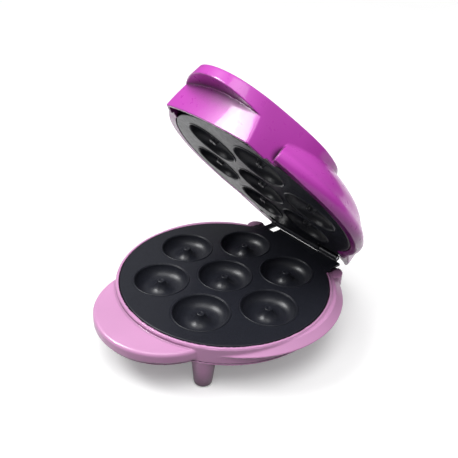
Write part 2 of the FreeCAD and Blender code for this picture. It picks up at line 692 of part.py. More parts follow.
def handle_block(name, inset):
    """The straight front of the lid: an arched front wall and two sides."""
    low = D["front_low"] if inset.value == 0 else size(-8)
    corner = D["front_corner_y"] + inset
    x, side = D["front_x"] - inset * 0.8, D["side_x"] - inset
    block = pad(name + "_pad", [(-x, corner, -D["front_arc"]), (x, corner), (side, D["side_y"]),
                                (size(70) - inset, -50), (60, 0), (-60, 0), (-size(70) + inset, -50),
                                (-side, D["side_y"])], low, D["visor_low"] + 4)
    lowered = common(name, [block, arch_block(name + "_arch", -inset, -180, 20)])
    if inset.value == 0:
        return lowered
    middle = both_sides([(44, -92), (54, -74), (58, -50), (50, -10)])
    core = pad(name + "_core", middle, low, D["visor_low"] + 6)
    return fuse(name + "_open", [lowered, core])


# half outlines of the crown in plan, front to rear: its foot, and its top edge
CROWN_FOOT = [(0, -127), (22, -123.5), (41, -111.5), (52.5, -98), (62, -79), (70, -58), (74, -36),
              (70, -8), (50, 24), (26, 40), (0, 46)]
CROWN_EDGE = [(0, -124), (19, -119.5), (34.5, -107), (46.5, -89), (57, -73), (66, -57.5), (70.5, -41),
              (67.5, -16), (47, 16), (24, 32), (0, 38)]
CROWN_MIDDLE = Vector(0, -40, 0)


def crown_wire(half, inset, height):
    """A smooth closed outline through the points and their mirror images, drawn in by the inset."""
    ring = [Vector(x, y, 0) for x, y in half] + [Vector(-x, y, 0) for x, y in reversed(half[1:-1])]
    points = []
    for point in ring:
        inward = (CROWN_MIDDLE - point).normalize()
        points.append(point + inward * inset + Vector(0, 0, height))
    curve = Part.BSplineCurve()
    curve.interpolate(Points=points, PeriodicFlag=True)
    return Part.Wire([curve.toShape()])


def crown(name, inset):
    """The raised tongue along the top, which runs out over the front wall as a visor.
    Its outline is free-form, so its shape is lofted here from the sheet's sizes."""
    body = doc.addObject("Part::Feature", name + "_loft")
    foot = crown_wire(CROWN_FOOT, inset.value, D["crown_foot_z"].value)
    edge = crown_wire(CROWN_EDGE, inset.value, D["crown_edge_z"].value)
    body.Shape = Part.makeLoft([foot, edge], True)
    ball = doc.addObject("Part::Sphere", name + "_ball")
    bind(ball, Radius=D["crown_sphere"])
    move(ball, z=D["crown_top"] - D["crown_sphere"] - inset)
    arch = arch_block(name + "_arch", inset, -180, -100)
    return cut(name, common(name + "_domed", [body, ball]), [arch])


def hinge_cover(name, inset):
    """The squared rear of the lid, over the hinge."""
    low = size(0) if inset.value == 0 else size(-6)
    return pad(name, both_sides([(D["hump_x"] - inset, 50), (D["hump_x"] - inset, D["hump_x"]),
                                 (D["hump_wide_x"] - inset, D["hump_wide_y"] - inset),
                                 (D["hump_rear_x"] - inset, D["hump_rear_y"] - inset)]),
               low, D["hump_top"] - inset)


def lid_form(name, inset):
    """The whole lid as one block, drawn in all round by the inset."""
    inset = size(inset)
    return fuse(name, [lid_dome(name + "_dome", inset), handle_block(name + "_front", inset),
                       crown(name + "_crown", inset), hinge_cover(name + "_cover", inset)])


def lid_shell():
    """The magenta lid: one moulding, open below, with a flange round the upper plate."""
    wall, room = D["lid_wall"], D["lid_plate_room"]
    outer, inner = lid_form("lid_outer", 0), lid_form("lid_inner", wall)
    opening = cylinder("lid_opening", D["lid_plate_rad"] + room, -10, 12)
    tab_x, tab_y = D["lid_tab_half"] + room, D["tab_end"] + room
    tab = pad("lid_tab_opening", both_sides([(75, 50), (75, 58), (tab_x, tab_y - D["tab_chamfer"]),
                                             (D["hinge_bay_half"], tab_y)]), -10, 12)
    bay = box("hinge_bay", (-D["hinge_bay_half"], D["hinge_bay_half"]), (85, 140), (-10, D["hinge_bay_top"]))
    rim = D["lid_rim_z"]
    slab = box("flange_slab", (-130, 130), (-77, 130), (rim, wall + rim))
    flange = cut("lid_flange", slab, [opening, tab])
    hollow = cut("lid_hollow", inner, [flange])
    ring_room = cylinder("base_ring_room", D["ring_rad"] + 0.6, -10, -0.4)
    lenses = [cylinder(f"lens_hole{i}", D["lens_rad"] + 0.1, 30, 60, D["lens_x"] * side, D["lens_y"])
              for i, side in enumerate((-1, 1))]
    ribs = []
    for index, x in enumerate((-42, -28, -14, 0, 14, 28, 42)):
        start = D["front_y"] + size(x * x) / (D["front_arc"] * 2) + 1
        ribs.append(box(f"front_rib{index}", (size(x) - D["rib_thick"] / 2, size(x) + D["rib_thick"] / 2),
                        (start, start + 6), (0, 20)))
    shell = cut("lid_skin", outer, [hollow, bay, ring_room] + lenses)
    return fuse("lid_shell_whole", [shell] + ribs)


def lens(name, side):
    """An indicator lens: a low button on the lid with a flange under the shell."""
    x, y = D["lens_x"] * side, D["lens_y"]
    top = D["crown_top"] - D["lid_wall"] - 0.2
    stem = cylinder(name + "_stem", D["lens_rad"], top - 2, D["crown_top"] + 0.6, x, y)
    cap = cone(name + "_cap", D["lens_rad"], D["lens_rad"] - 1.2, D["crown_top"] + 0.6,
               D["crown_top"] + 1.4, x, y)
    flange = cylinder(name + "_flange", D["lens_rad"] + 1.4, top - 1.6, top, x, y)
    return fuse(name + "_parts", [stem, cap, flange])


def lead(points, radius):
    """A wire along straight runs joined by tangent arcs."""
    points = [Vector(*p) for p in points]
    edges, here = [], points[0]
    for before, corner, after in zip(points, points[1:], points[2:]):
        arriving, leaving = (corner - before).normalize(), (after - corner).normalize()
        turning = arriving.getAngle(leaving)
        reach = 0.45 * min((corner - before).Length, (after - corner).Length)
        start, end = corner - arriving * reach, corner + leaving * reach
        bend = reach / math.tan(turning / 2)
        sagged = corner + (leaving - arriving).normalize() * (bend / math.cos(turning / 2) - bend)
        edges.append(Part.LineSegment(here, start).toShape())
        edges.append(Part.Arc(start, sagged, end).toShape())
        here = end
    edges.append(Part.LineSegment(here, points[-1]).toShape())
    path = Part.Wire(edges)
    ring = Part.Wire([Part.Circle(points[0], points[1] - points[0], radius).toShape()])
    return path.makePipeShell([ring], True, False)


def wiring(name, routes, radius):
    """Insulated leads, each its own solid."""
    wires = []
    for index, route in enumerate(routes):
        wire = doc.addObject("Part::Feature", f"{name}_lead{index}")
        wire.Shape = lead(route, radius)
        wires.append(wire)
    return grouped(name + "_set", wires)


place("lid_shell", lid_shell(), "lid")
for node, side in (("power_light_lens", -1), ("ready_light_lens", 1)):
    place(node, lens(node, side), "lid")
lamps = [fuse(f"lamp{i}", [cylinder(f"lamp_glass{i}", 2.9, 29, 38.5, D["lens_x"] * side, D["lens_y"]),
                           cylinder(f"lamp_base{i}", 2.4, 25, 29, D["lens_x"] * side, D["lens_y"])])
         for i, side in enumerate((-1, 1))]
place("indicator_lamps", grouped("lamp_set", lamps), "lid")
tail_x, tail_end = tail_side.value, (bead_start + bead_long).value
level, low_level, high_level = tube_z.value, -23.6, 24.0
mid, blades = between.value, back.value - 10.2
wire_rad, touching = 1.1, 0.1
place("base_wiring", wiring("base_wires", [
    [(tail_x, tail_end, level), (tail_x, tail_end + 3.4, level),
     (block_side - touching, tail_end + 3.4, level)],
    [(-tail_x, tail_end, level), (-tail_x, tail_end + 3, level), (-tail_x, tail_end + 3, low_level),
     (-8, mid, low_level), (-8, mid, blades)],
    [(8, mid, blades), (8, mid, low_level), (24, tail_end, low_level), (24, tail_end, block_low - touching)],
], wire_rad), "base")
place("lid_wiring", wiring("lid_wires", [
    [(tail_x, tail_end, -level), (tail_x, tail_end + 4, -level), (tail_x, tail_end + 4, high_level),
     (11, 9, high_level)],
    [(-tail_x, tail_end, -level), (-tail_x, tail_end + 4, -level), (-tail_x, tail_end + 4, high_level),
     (-11, 9, high_level)],
], wire_rad), "lid")


# ---------------------------------------------------------------- write the files

doc.recompute()
for thing in doc.Objects:
    if "Invalid" in thing.State or "Error" in thing.State:
        raise RuntimeError(f"{thing.Name} failed: {thing.State}")
os.makedirs("parts", exist_ok=True)
whole = FreeCAD.BoundBox()
for node, holder in nodes.items():
    shape = holder.Shape
    if shape.isNull() or not shape.isValid() or not shape.Solids:
        raise RuntimeError(f"{node} has no valid solid")
    whole.add(shape.optimalBoundingBox(False, False))
    shape.exportStep(f"parts/{node}.step")
    print(f"{node:28s} solids {len(shape.Solids)} volume {shape.Volume / 1000:9.2f} cm3")
for axis in "XYZ":
    print(f"{axis} {getattr(whole, axis + 'Min'):.2f} to {getattr(whole, axis + 'Max'):.2f}")
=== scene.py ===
import json
import math

import bpy
import numpy as np
from mathutils import Matrix, Vector
from mathutils.geometry import delaunay_2d_cdt

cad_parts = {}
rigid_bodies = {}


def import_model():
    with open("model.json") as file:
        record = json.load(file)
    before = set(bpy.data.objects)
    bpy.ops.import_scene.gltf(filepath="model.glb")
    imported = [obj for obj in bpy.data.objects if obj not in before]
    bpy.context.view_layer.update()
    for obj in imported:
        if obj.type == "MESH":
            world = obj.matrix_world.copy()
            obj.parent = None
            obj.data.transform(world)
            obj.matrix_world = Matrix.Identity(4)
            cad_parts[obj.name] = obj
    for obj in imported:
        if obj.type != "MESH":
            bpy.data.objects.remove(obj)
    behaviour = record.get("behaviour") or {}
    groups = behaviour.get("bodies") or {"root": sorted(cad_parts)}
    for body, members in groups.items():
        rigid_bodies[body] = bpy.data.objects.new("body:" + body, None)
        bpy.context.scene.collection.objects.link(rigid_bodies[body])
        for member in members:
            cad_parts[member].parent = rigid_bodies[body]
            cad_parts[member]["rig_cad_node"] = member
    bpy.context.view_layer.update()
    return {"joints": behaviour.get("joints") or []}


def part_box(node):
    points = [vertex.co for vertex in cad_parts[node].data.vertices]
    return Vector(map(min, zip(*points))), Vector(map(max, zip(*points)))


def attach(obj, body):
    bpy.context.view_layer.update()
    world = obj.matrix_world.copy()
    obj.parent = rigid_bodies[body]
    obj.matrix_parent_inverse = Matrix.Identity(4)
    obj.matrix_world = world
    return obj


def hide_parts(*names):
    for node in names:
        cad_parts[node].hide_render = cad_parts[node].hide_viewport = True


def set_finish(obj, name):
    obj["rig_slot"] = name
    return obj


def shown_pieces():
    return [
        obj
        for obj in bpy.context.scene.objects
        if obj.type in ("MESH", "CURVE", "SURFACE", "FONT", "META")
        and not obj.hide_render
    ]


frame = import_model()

# The mouldings are written as signed distance fields, in millimetres, in the frame of the
# closed appliance: origin on the parting plane at the centre of the plates, +Y to the hinge.
# `seated` then puts them where the CAD model stands, with the lid open.
MM = 0.001
hinge = frame["joints"][0]
hinge_place = Vector(hinge["pos_m"]) / MM
open_angle = math.radians(-min(hinge["range_deg"]))
plate_low, plate_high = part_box("lower_plate")
plate_rad = (plate_high.x - plate_low.x) / 2 / MM
centre_y = plate_low.y / MM + plate_rad
HINGE_RISE = 0.5
parting_z = hinge_place.z - HINGE_RISE
hinge_y = hinge_place.y - centre_y


def seated(points, lid):
    """Closed-frame millimetres to row-frame metres."""
    place = Matrix.Translation((0, centre_y, parting_z))
    if lid:
        to_hinge = Matrix.Translation((0, hinge_y, HINGE_RISE))
        place = place @ to_hinge @ Matrix.Rotation(-open_angle, 4, "X") @ to_hinge.inverted()
    place = np.array(Matrix.Scale(MM, 4) @ place)
    return points @ place[:3, :3].T + place[:3, 3]


# ---------------------------------------------------------------- distance fields

ARC_STEP = 1.0


def meet(a, b, fillet=0.0):
    """Where both shapes are, with its edge rounded to that radius."""
    if not fillet:
        return np.maximum(a, b)
    outside = np.hypot(np.maximum(a + fillet, 0), np.maximum(b + fillet, 0))
    return np.minimum(np.maximum(a, b), -fillet) + outside


def join(a, b, fillet=0.0):
    """Either shape, with a concave fillet of that radius between them."""
    if not fillet:
        return np.minimum(a, b)
    inside = np.hypot(np.maximum(fillet - a, 0), np.maximum(fillet - b, 0))
    return np.maximum(np.minimum(a, b), fillet) - inside


def take(a, b, edge=0.0):
    """The first shape without the second."""
    return meet(a, -b, edge)


def span(value, low, high):
    """Between two values of a coordinate."""
    return np.abs(value - (low + high) / 2) - (high - low) / 2


def curve_points(corners):
    """Corners to a closed polyline.  A third value is the radius of the arc that leaves a
    corner, positive where it bows to the left and negative where it bows to the right."""
    points = []
    for corner, following in zip(corners, corners[1:] + corners[:1]):
        start, end = np.array(corner[:2], float), np.array(following[:2], float)
        points.append(start)
        if len(corner) == 3:
            chord = end - start
            length = np.hypot(*chord)
            left = np.array((-chord[1], chord[0])) / length
            radius = corner[2]
            drop = math.copysign(math.sqrt(radius ** 2 - length ** 2 / 4), radius)
            middle = (start + end) / 2 - left * drop
            half = math.asin(length / 2 / abs(radius))
            pieces = max(2, int(2 * half * abs(radius) / ARC_STEP))
            for turn in np.linspace(half, -half, pieces + 1)[1:-1]:
                lean = -turn if radius > 0 else turn
                spin = np.array(((math.cos(lean), -math.sin(lean)), (math.sin(lean), math.cos(lean))))
                points.append(middle + spin @ (left * radius))
    return np.array(points)


class Outline:
    """A closed outline's signed distance, kept as a table with smooth interpolation.
    `soften` rounds its corners by about that much."""

    def __init__(self, points, step=0.5, margin=14.0, soften=0.0):
        low, high = points.min(0) - margin, points.max(0) + margin
        self.low, self.step = low, step
        axes = [np.arange(low[i], high[i] + step, step) for i in range(2)]
        u, v = np.meshgrid(*axes, indexing="ij")
        nearest = np.full(u.shape, np.inf)
        crossings = np.zeros(u.shape, bool)
        for a, b in zip(points, np.roll(points, -1, axis=0)):
            edge = b - a
            along = ((u - a[0]) * edge[0] + (v - a[1]) * edge[1]) / max(edge @ edge, 1e-12)
            along = np.clip(along, 0, 1)
            away = (u - a[0] - along * edge[0]) ** 2 + (v - a[1] - along * edge[1]) ** 2
            nearest = np.minimum(nearest, away)
            if a[1] != b[1]:
                between = (v >= min(a[1], b[1])) & (v < max(a[1], b[1]))
                crossings ^= between & (u < a[0] + (v - a[1]) * edge[0] / edge[1])
        self.table = np.where(crossings, -1, 1) * np.sqrt(nearest)
        if soften:
            self.blur(soften)

    def blur(self, width):
        reach = int(3 * width / self.step) + 1
        kernel = np.exp(-0.5 * (np.arange(-reach, reach + 1) * self.step / width) ** 2)
        kernel /= kernel.sum()

        def smooth(row):
            padded = np.pad(row, reach, mode="reflect", reflect_type="odd")
            return np.convolve(padded, kernel, "valid")

        for axis in (0, 1):
            self.table = np.apply_along_axis(smooth, axis, self.table)

    def __call__(self, u, v):
        u, v = np.broadcast_arrays((u - self.low[0]) / self.step, (v - self.low[1]) / self.step)
        rows, columns = self.table.shape
        over = np.maximum(np.abs(u - rows / 2) - rows / 2 + 3, 0)
        over = over + np.maximum(np.abs(v - columns / 2) - columns / 2 + 3, 0)
        u, v = np.clip(u, 1, rows - 3), np.clip(v, 1, columns - 3)
        i, j = u.astype(np.int32), v.astype(np.int32)
        across, up = spline_weights(u - i), spline_weights(v - j)
        total = 0
        for a in range(4):
            line = sum(up[b] * self.table[i + a - 1, j + b - 1] for b in range(4))
            total = total + across[a] * line
        return total + over * self.step


def spline_weights(t):
    """Cubic B-spline weights of four neighbours, smooth to the second derivative."""
    return ((1 - t) ** 3 / 6, (3 * t ** 3 - 6 * t ** 2 + 4) / 6,
            (-3 * t ** 3 + 3 * t ** 2 + 3 * t + 1) / 6, t ** 3 / 6)


def smooth_loop(half, count=240):
    """A closed outline through the right half's points and their mirror images (periodic
    Catmull-Rom)."""
    ring = np.array(list(half) + [(-x, y) for x, y in reversed(half[1:-1])], float)
    size = len(ring)
    points = []
    for position in np.linspace(0, size, count, endpoint=False):
        index, t = int(position), position % 1
        a, b, c, d = (ring[(index + k) % size] for k in (-1, 0, 1, 2))
        points.append(0.5 * (2 * b + (c - a) * t + (2 * a - 5 * b + 4 * c - d) * t ** 2
                             + (3 * b - a - 3 * c + d) * t ** 3))
    return np.array(points)


# ---------------------------------------------------------------- from field to mesh

SMOOTHINGS = 2
TRUST_FROM, TRUST_RANGE = 0.6, 0.3


def gradient(field, p, reach=0.04):
    """The field's slopes by central differences."""
    slopes = []
    for axis in range(3):
        shift = np.zeros(3)
        shift[axis] = reach
        slopes.append((field(*(p + shift).T) - field(*(p - shift).T)) / (2 * reach))
    return np.stack(slopes, axis=1)


def settle(field, p, furthest, rounds=4):
    """Moves points onto the surface."""
    for _ in range(rounds):
        slope = gradient(field, p)
        share = field(*p.T) / np.maximum((slope ** 2).sum(1), 0.05)
        p = p - slope * np.clip(share, -furthest, furthest)[:, None]
    return p


def net(field, low, high, step):
    """Surface nets: one vertex in each grid cell that the surface crosses, and a quad across
    each grid edge that it cuts."""
    axes = [np.arange(a, b + step, step, dtype=np.float32) for a, b in zip(low, high)]
    inside = field(*np.meshgrid(*axes, indexing="ij", sparse=True)) < 0
    cells = tuple(n - 1 for n in inside.shape)
    corners = np.zeros(cells, np.int8)
    for a in (0, 1):
        for b in (0, 1):
            for c in (0, 1):
                corners += inside[a:cells[0] + a, b:cells[1] + b, c:cells[2] + c]
    crossed = (corners > 0) & (corners < 8)
    number = np.full(cells, -1, np.int32)
    number[crossed] = np.arange(crossed.sum())
    points = (np.argwhere(crossed) + 0.5) * step + np.array(low)
    quads = []
    for axis in range(3):
        first, second = [slice(None)] * 3, [slice(None)] * 3
        first[axis], second[axis] = slice(None, -1), slice(1, None)
        starts, ends = inside[tuple(first)], inside[tuple(second)]
        edges = np.argwhere(starts != ends)
        one, two = (axis + 1) % 3, (axis + 2) % 3
        around = []
        for back_one, back_two in ((0, 0), (1, 0), (1, 1), (0, 1)):
            cell = edges.copy()
            cell[:, one] -= back_one
            cell[:, two] -= back_two
            around.append(number[tuple(cell.T)])
        quad = np.stack(around, axis=1)
        flip = ~starts[tuple(edges.T)]
        quad[flip] = quad[flip][:, ::-1]
        quads.append(quad)
    quads = np.concatenate(quads)
    for _ in range(SMOOTHINGS):
        total = np.zeros_like(points)
        count = np.bincount(quads.ravel(), minlength=len(points))[:, None]
        centres = points[quads].mean(1)
        for axis in range(3):
            total[:, axis] = np.bincount(quads.ravel(), np.repeat(centres[:, axis], 4), len(points))
        points = total / count
    return settle(field, points, step / 2), quads


def new_mesh(name, points, faces):
    mesh = bpy.data.meshes.new(name)
    mesh.from_pydata([], [], [])
    mesh.vertices.add(len(points))
    mesh.vertices.foreach_set("co", np.asarray(points, np.float32).ravel())
    sizes = np.array([len(f) for f in faces])
    mesh.loops.add(int(sizes.sum()))
    mesh.loops.foreach_set("vertex_index", np.concatenate([np.asarray(f, np.int32) for f in faces]))
    mesh.polygons.add(len(faces))
    mesh.polygons.foreach_set("loop_start", np.concatenate(([0], np.cumsum(sizes)[:-1])).astype(np.int32))
    mesh.update(calc_edges=True)
    mesh.validate()
    return mesh


def add_piece(name, mesh, body, slot, stands_for=()):
    piece = bpy.data.objects.new(name, mesh)
    bpy.context.scene.collection.objects.link(piece)
    mesh.polygons.foreach_set("use_smooth", np.ones(len(mesh.polygons), bool))
    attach(piece, body)
    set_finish(piece, slot)
    if stands_for:
        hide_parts(*stands_for)
    return piece


def moulding(name, field, low, high, step, body, slot, stands_for=()):
    """A piece from its distance field, with the field's own normals except on sharp edges,
    where the field's slope and the mesh disagree and the mesh's normals are kept."""
    points, quads = net(field, low, high, step)
    mesh = new_mesh(name, points, quads)
    rough = np.empty(len(mesh.vertices) * 3)
    mesh.vertex_normals.foreach_get("vector", rough)
    rough = rough.reshape(-1, 3)
    normals = gradient(field, points, step / 3)
    normals /= np.maximum(np.linalg.norm(normals, axis=1), 1e-9)[:, None]
    trust = np.clip(((normals * rough).sum(1) - TRUST_FROM) / TRUST_RANGE, 0, 1)[:, None]
    normals = normals * trust + rough * (1 - trust)
    lid = body == "lid"
    placed = seated(points, lid)
    normals = seated(points + normals, lid) - placed
    normals /= np.linalg.norm(normals, axis=1)[:, None]
    mesh.vertices.foreach_set("co", placed.astype(np.float32).ravel())
    piece = add_piece(name, mesh, body, slot, stands_for)
    mesh.normals_split_custom_set_from_vertices([tuple(n) for n in normals])
    return piece


# ---------------------------------------------------------------- the lid

LID_WALL = 3.2
DOME_HALF_GAP = math.radians(38.4)
RIM_Z = 0.4
DOME_TUCK, TUCK_REACH = 1.5, 30
COVER_TOP = 18.0
dome_section = Outline(curve_points([(-40, -14), (104.8, -14), (104.8, RIM_Z), (106.4, 2.6), (107.3, 5.4),
                                     (107.0, 8.6), (105.0, 11.4), (100.8, 15.2, -62.0), (75, 34.6),
                                     (0, 39.8), (-40, 39.8)]), soften=0.8)
cover_plan = Outline(curve_points([(74, 40), (74, 74), (62, 104), (54, 117), (-54, 117), (-62, 104),
                                   (-74, 74), (-74, 40)]), step=0.8, soften=0.8)
crown_foot = Outline(smooth_loop([(0, -127), (22, -123.5), (41, -111.5), (52.5, -98), (62, -79), (70, -58),
                                  (74, -36), (70, -8), (50, 24), (26, 40), (0, 46)]), step=1.0, soften=1.0)
crown_edge = Outline(smooth_loop([(0, -124), (19, -119.5), (34.5, -107), (46.5, -89), (57, -73),
                                  (66, -57.5), (70.5, -41), (67.5, -16), (47, 16), (24, 32), (0, 38)]),
                     step=1.0, soften=1.0)
CROWN_EDGE_Z, CROWN_LEAN = 46.0, 1.35
FRONT_WALL_RAD, FRONT_WALL_Y = 211.25, 104.25
CROWN_TOP, CROWN_SPHERE = 43.6, 802.0
VISOR_LOW, VISOR_ARCH = 24.4, 272.0
HANDLE_LOW = -2.1
UPPER_OPENING = 97.4
FLANGE_FRONT = -77
TAB_OPENING_HALF, TAB_OPENING_SPAN = 57.9, (50, 95.9)
BAY_HALF, BAY_FRONT, BAY_TOP = 52.5, 85, 8.5
SEAT_RAD, SEAT_Z = 102.4, -0.4
LENS_X, LENS_Y, LENS_RAD, LENS_HOLE_LOW = 11, 5, 4.1, 30
RIB_END, RIB_PITCH, RIB_THICK, RIB_DEPTH, RIB_TOP = 42, 14, 1.6, 6, 20


def visor_line(x):
    """Height of the visor's arched underside."""
    return VISOR_LOW - VISOR_ARCH + np.sqrt(np.maximum(VISOR_ARCH ** 2 - x ** 2, 1))


def lid_field(x, y, z):
    radius = np.hypot(x, y)
    dome = dome_section(radius + DOME_TUCK * np.clip(y / TUCK_REACH, 0, 1) ** 2, z)
    sector = -np.abs(x) * math.cos(DOME_HALF_GAP) - y * math.sin(DOME_HALF_GAP)
    dome = meet(dome, sector, 1.0)
    share = np.clip((z - HANDLE_LOW) / (CROWN_EDGE_Z - HANDLE_LOW), 0, 2) ** CROWN_LEAN
    loft = crown_foot(x, y) * (1 - share) + crown_edge(x, y) * share
    ball = np.sqrt(x ** 2 + y ** 2 + (z - CROWN_TOP + CROWN_SPHERE) ** 2) - CROWN_SPHERE
    front_wall = np.hypot(x, y - FRONT_WALL_Y) - FRONT_WALL_RAD
    crown = take(meet(loft, ball, 1.3), meet(z - visor_line(x), -front_wall), 0.9)
    cover = meet(cover_plan(x, y), z - COVER_TOP, 1.6)
    form = join(join(dome, cover, 1.2), crown, 0.9)
    rim = RIM_Z + 1.4 * np.clip((-60 - y) / 25, 0, 1)
    closed = join(meet(dome, rim - z, 0.5), meet(cover, -z, 0.5), 1.2)
    closed = join(closed, meet(crown, HANDLE_LOW - z, 0.5), 0.9)
    flange = meet(meet(span(z, RIM_Z, RIM_Z + LID_WALL), UPPER_OPENING - radius), FLANGE_FRONT - y)
    tab_opening = meet(np.abs(x) - TAB_OPENING_HALF, span(y, *TAB_OPENING_SPAN))
    flange = take(flange, tab_opening)
    hollow = take(form + LID_WALL, flange)
    shell = take(closed, hollow, 0.4)
    bay = meet(meet(np.abs(x) - BAY_HALF, BAY_FRONT - y), z - BAY_TOP)
    shell = take(shell, bay, 0.4)
    shell = take(shell, meet(radius - SEAT_RAD, z - SEAT_Z), 0.3)
    for side in (-1, 1):
        lens_hole = np.hypot(x - LENS_X * side, y - LENS_Y) - LENS_RAD
        shell = take(shell, meet(lens_hole, LENS_HOLE_LOW - z), 0.4)
    for place in range(-RIB_END, RIB_END + 1, RIB_PITCH):
        start = FRONT_WALL_Y - FRONT_WALL_RAD + place ** 2 / (2 * FRONT_WALL_RAD) + 1
        across = span(x, place - RIB_THICK / 2, place + RIB_THICK / 2)
        rib = meet(meet(across, span(y, start, start + RIB_DEPTH)), span(z, 0, RIB_TOP), 0.3)
        shell = join(shell, rib, 0.3)
    return shell


moulding("lid_moulding", lid_field, (-110, -130, -5), (110, 120, 47), 0.95, "lid", "lid_magenta",
         ["lid_shell"])


# ---------------------------------------------------------------- the base

WALL = 2.8
SKIRT_LOW = -16.7
ring_section = Outline(curve_points([(98.6, SKIRT_LOW), (101.8, SKIRT_LOW), (101.8, -2), (101.2, -2),
                                     (101, -1), (98.6, -1), (98.6, -3.9), (94.5, -3.9), (94.5, -6.1),
                                     (98.6, -6.1)]), step=0.2, margin=6, soften=0.18)
cheek_section = Outline(curve_points([(0, SKIRT_LOW - 6), (86, SKIRT_LOW - 6), (90.2, SKIRT_LOW),
                                      (98.7, -8.7), (91.5, -2.6), (0, -2.6)]), step=0.4, soften=0.35)
CHEEK_X, CHEEK_Y = 11.8, 7.0
LOBE_RAD, LOBE_Y, LOBE_TOP, LOBE_LOW = 63.54, -67.0, -4.7, -15.4
LEG_X, LEG_Y = 58.0, 70.0
LEG_TOP_RAD, LEG_FOOT_RAD, FOOT_Z = 11.0, 8.0, -47.5
POST_RAD, SCREW_CORE = 5, 1.5
HORN_X, HORN_Y, HORN_RAD = 55, 91.5, 10
NOTCH_HALF = 54.4
GLAND_Z, GLAND_HOLE_RAD, GLAND_FRONT = -20, 9.3, 70


def base_field(x, y, z):
    radius = np.hypot(x, y)
    lobe = meet(np.hypot(x, y - LOBE_Y) - LOBE_RAD, z - LOBE_TOP, 3.2)
    cheeks = cheek_section(np.hypot(np.abs(x) - CHEEK_X, y - CHEEK_Y), z)
    horns = meet(np.hypot(np.abs(x) - HORN_X, y - HORN_Y) - HORN_RAD, z + 3, 1.0)
    skirt = join(join(meet(lobe, LOBE_LOW - z, 2.4), cheeks, 1.5), horns, 0.8)
    pocket = join(lobe, cheeks) + WALL
    skirt = take(skirt, meet(pocket, 101.4 - radius))
    skirt = meet(skirt, 100.5 - radius)
    shell = join(skirt, ring_section(radius, z), 0.7)
    shell = meet(shell, SKIRT_LOW - z, 0.3)
    notch = meet(meet(np.abs(x) - NOTCH_HALF, 60 - y), -4.2 - z)
    shell = take(shell, notch, 0.4)
    shell = take(shell, meet(np.hypot(x, z - GLAND_Z) - GLAND_HOLE_RAD, GLAND_FRONT - y))
    post = np.hypot(np.abs(x) - LEG_X, np.abs(y) - LEG_Y)
    return join(shell, take(meet(post - POST_RAD, span(z, -18, -4.2), 0.3), post - SCREW_CORE))


moulding("base_moulding", base_field, (-113, -133, -19), (113, 112, 1), 0.9, "base", "base_pink",
         ["base_upper_shell"])

TUB_TOP = SKIRT_LOW - 0.1
tub_section = Outline(curve_points([(-20, -30), (74, -30), (84, -26), (97, -19), (97, -5), (-20, -5)]),
                      step=0.4, soften=0.9)


def tub_field(x, y, z):
    radius = np.hypot(x, y)
    pan = tub_section(radius, z)
    leg = np.hypot(np.abs(x) - LEG_X, np.abs(y) - LEG_Y)
    taper = (LEG_TOP_RAD - LEG_FOOT_RAD) / (TUB_TOP - FOOT_Z)
    legs = (leg - LEG_FOOT_RAD - (z - FOOT_Z) * taper) / math.hypot(1, taper)
    legs = meet(legs, FOOT_Z - z, 0.8)
    flange = meet(radius - 101.6, -19 - z, 0.4)
    cover = meet(np.hypot(x, y - LOBE_Y) - LOBE_RAD + 3, -18.8 - z, 0.3)
    inlet = meet(np.hypot(x, z - GLAND_Z) - 9, span(y, 84, 100), 0.5)
    outer = join(join(join(pan, legs, 2.2), flange, 0.5), join(cover, inlet), 0.5)
    columns = meet(leg - 6.8, z + 18.3)
    hollow = take(pan + WALL, columns)
    shell = meet(take(outer, hollow), z - TUB_TOP, 0.3)
    shell = take(shell, np.hypot(x, z - GLAND_Z) + np.maximum(GLAND_FRONT - y, 0) - 6)
    well = join(meet(leg - 4.6, z + 22), meet(leg - 6.2, z + 46.9))
    well = join(well, join(leg - 1.7, meet(leg - 5.3, -18.3 - z)))
    return take(shell, well, 0.2)


moulding("tub_moulding", tub_field, (-106, -134, -49), (106, 110, -14), 1.1, "base", "base_pink",
         ["base_tub"])


# ---------------------------------------------------------------- baking plates

FACE_GAP, PLATE_THICK = 0.7, 3.2
WELL_RING, WELL_ROUND, WELL_WALL = 14.0, 10.4, 2.2
PATCH_RAD = 28.0
WELL_PITCH = 60
WELLS = [(0.0, 0.0)]
for sixth in range(6):
    turned = math.radians(60 * sixth)
    WELLS.append((WELL_PITCH * math.cos(turned), WELL_PITCH * math.sin(turned)))
PIN_RAD, BARREL_RAD = 1.5, 3.4
PLATE_BODY_RAD = 95.5
LOW_BARRELS, HIGH_BARREL = [(-46.5, -40.5), (23, 46)], [(-40, 22.5)]


def arc_points(centre, radius, first, last, count):
    """Points on an arc, angles in degrees."""
    angles = np.radians(np.linspace(first, last, count))
    return [(centre[0] + radius * math.cos(a), centre[1] + radius * math.sin(a)) for a in angles]


def well_profile():
    """Section of a well from its pin out to the flat, heights from the plate's face."""
    points = [(0.0, -1.15), (0.7, -1.12), (1.2, -0.95), (1.5, -0.78), (1.85, -0.7), (2.9, -0.72)]
    points += arc_points((2.95, -1.5), 0.78, 80, 8, 5)
    points += arc_points((WELL_RING, 0), WELL_ROUND, 190, 354, 34)
    points += arc_points((WELL_RING + WELL_ROUND + 0.42, -0.42), 0.42, 170, 95, 4)
    points += [(24.86, 0.02)]
    points += arc_points((25.55, 0), 0.62, 165, 15, 9)
    return points + [(26.3, -0.12), (26.7, -0.1), (27.2, 0.0), (PATCH_RAD, 0.0)]


def bulge_profile():
    """Section of the metal under a well."""
    section = WELL_ROUND + WELL_WALL
    points = [(0.0, -1.5), (1.0, -1.8)]
    points += arc_points((WELL_RING, 0), section, 184, 344, 22)
    return points + [(26.8, -PLATE_THICK), (PATCH_RAD, -PLATE_THICK)]


